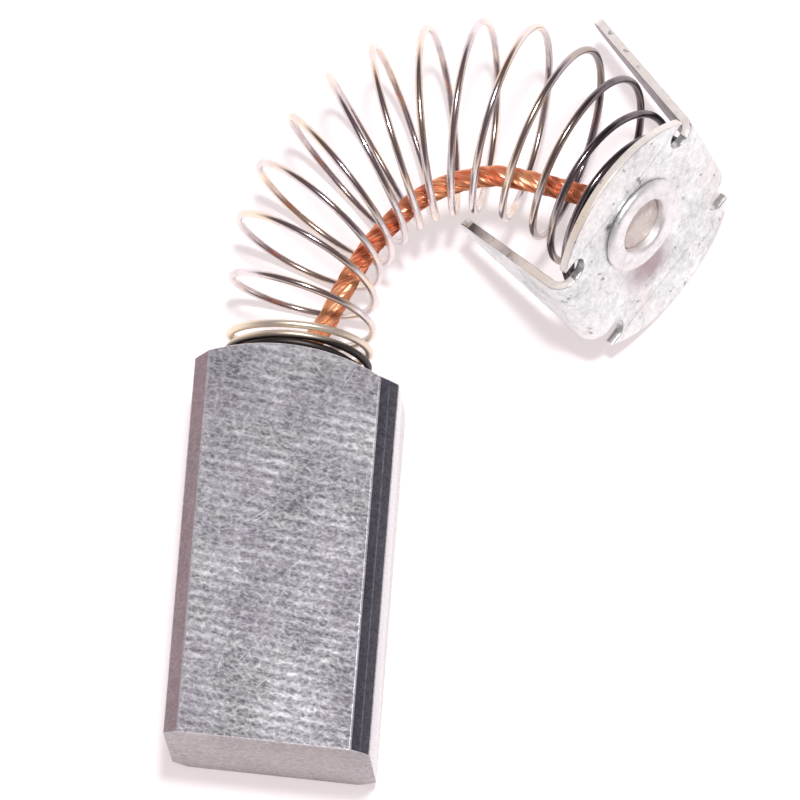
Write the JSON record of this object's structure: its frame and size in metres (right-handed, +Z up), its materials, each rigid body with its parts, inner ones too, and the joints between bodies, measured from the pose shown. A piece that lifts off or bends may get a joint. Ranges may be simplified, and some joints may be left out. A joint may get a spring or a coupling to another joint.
{
  "type": "carbon brush",
  "caption": "Carbon brush with a bevelled carbon block, a coil spring bent through a right angle, a twisted copper lead and a folded metal terminal cap.",
  "frame": {"origin": "middle of the block's wide face that lies on the surface", "axes": "+Y along the block from its contact face to the spring end, +Z up through its thickness"},
  "size_m": [0.0275, 0.0425, 0.0131],
  "materials": {
    "carbon": "pressed electrographite, silver grey, finely scratched, sawn across its length",
    "tamping": "packed copper and carbon powder, matt",
    "copper": "bare bunched copper wire, bright",
    "spring_steel": "bright drawn steel wire",
    "plated_sheet": "tin-plated brass sheet, satin silver, slightly speckled",
    "weld": "fused lead end, pale pinkish metal, uneven"
  },
  "bodies": {
    "root": {"carbon_block": "carbon", "lead_tamping": "tamping", "copper_lead": "copper", "pressure_spring": "spring_steel", "terminal_cap": "plated_sheet", "cap_eyelet": "plated_sheet", "lead_weld": "weld"}
  },
  "joints": []
}
